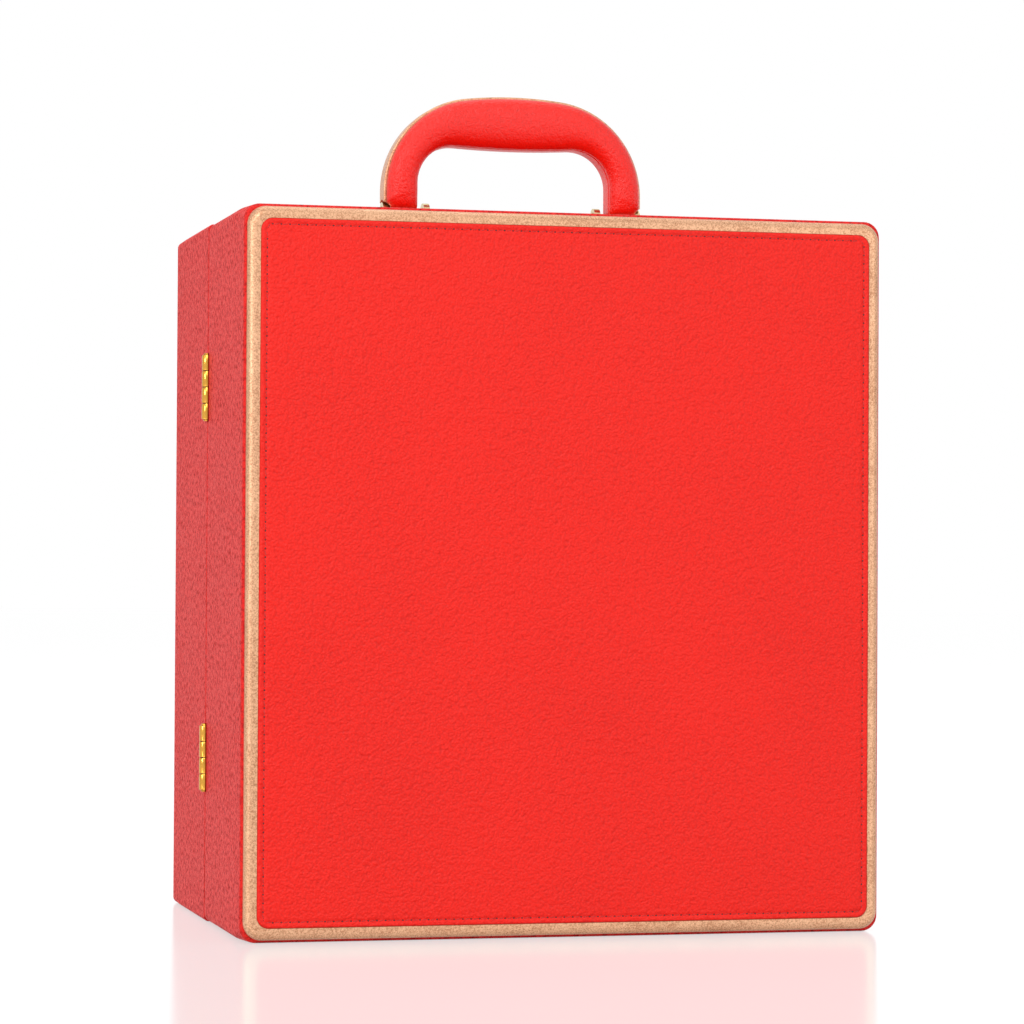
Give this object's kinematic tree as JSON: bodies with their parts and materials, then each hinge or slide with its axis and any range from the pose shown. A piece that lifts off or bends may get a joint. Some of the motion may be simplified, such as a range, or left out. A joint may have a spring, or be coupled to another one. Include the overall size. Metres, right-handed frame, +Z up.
{
  "type": "leather wine case",
  "caption": "Upright book-opening case in red leather with gilt trim, padded folding carry handle, hinged halves, side latches and lined bottle bays.",
  "frame": {"origin": "centre of the closed case's footprint, on the surface that it stands on", "axes": "+Z up, +X to the right with the large front face towards the viewer, +Y from the front to the back"},
  "size_m": [0.3332, 0.232, 0.4326],
  "materials": {
    "red_leather": "fine pebble grain, satin",
    "gold_leather": "metallic champagne grain, satin",
    "carcass_board": "fibreboard, matt",
    "velvet": "short pile velvet, black",
    "strap_leather": "smooth, satin",
    "gilt_metal": "polished"
  },
  "bodies": {
    "rear_case": {"rear_top_board": "carcass_board", "rear_bottom_board": "carcass_board", "rear_hinge_side_board": "carcass_board", "rear_latch_side_board": "carcass_board", "rear_face_board": "carcass_board", "rear_leather_wrap": "red_leather", "rear_base_leather": "red_leather", "rear_trim_board": "gold_leather", "rear_panel": "red_leather", "rear_lining": "velvet", "rear_dividers": "velvet", "rear_body_rests": "velvet", "rear_neck_rests": "velvet", "rear_bottle_strap": "strap_leather", "rear_strap_tab": "strap_leather", "rear_strap_snap": "gilt_metal", "rear_strap_screws": "gilt_metal", "rear_hinge_screws": "gilt_metal", "rear_latch_screws": "gilt_metal", "rear_hinge_leaves": "gilt_metal", "hinge_pins": "gilt_metal", "handle_brackets": "gilt_metal", "handle_pins": "gilt_metal", "handle_spacers": "gilt_metal", "bracket_screws": "gilt_metal", "latch_catches": "gilt_metal"},
    "front_case": {"front_top_board": "carcass_board", "front_bottom_board": "carcass_board", "front_hinge_side_board": "carcass_board", "front_latch_side_board": "carcass_board", "front_face_board": "carcass_board", "front_leather_wrap": "red_leather", "front_base_leather": "red_leather", "front_trim_board": "gold_leather", "front_panel": "red_leather", "front_lining": "velvet", "front_dividers": "velvet", "front_body_rests": "velvet", "front_neck_rests": "velvet", "front_bottle_strap": "strap_leather", "front_strap_tab": "strap_leather", "front_strap_snap": "gilt_metal", "front_strap_screws": "gilt_metal", "front_hinge_screws": "gilt_metal", "front_latch_screws": "gilt_metal", "front_hinge_leaves": "gilt_metal", "latch_bases": "gilt_metal", "latch_pins": "gilt_metal"},
    "handle": {"handle_core": "gold_leather", "handle_front_pad": "red_leather", "handle_rear_pad": "red_leather"},
    "upper_latch": {"upper_latch_hasp": "gilt_metal"},
    "lower_latch": {"lower_latch_hasp": "gilt_metal"}
  },
  "joints": [
    {"name": "case_hinge", "type": "hinge", "parent": "rear_case", "child": "front_case", "pos_m": [-0.1638, 0, 0.18], "axis": [0, 0, -1], "range_deg": [0, 180]},
    {"name": "handle_hinge", "type": "hinge", "parent": "rear_case", "child": "handle", "pos_m": [0, 0.012, 0.37], "axis": [1, 0, 0], "range_deg": [-60, 60]},
    {"name": "upper_latch_hinge", "type": "hinge", "parent": "front_case", "child": "upper_latch", "pos_m": [0.1651, -0.0052, 0.2755], "axis": [0, 0, -1], "range_deg": [0, 150]},
    {"name": "lower_latch_hinge", "type": "hinge", "parent": "front_case", "child": "lower_latch", "pos_m": [0.1651, -0.0052, 0.0845], "axis": [0, 0, -1], "range_deg": [0, 150]}
  ]
}
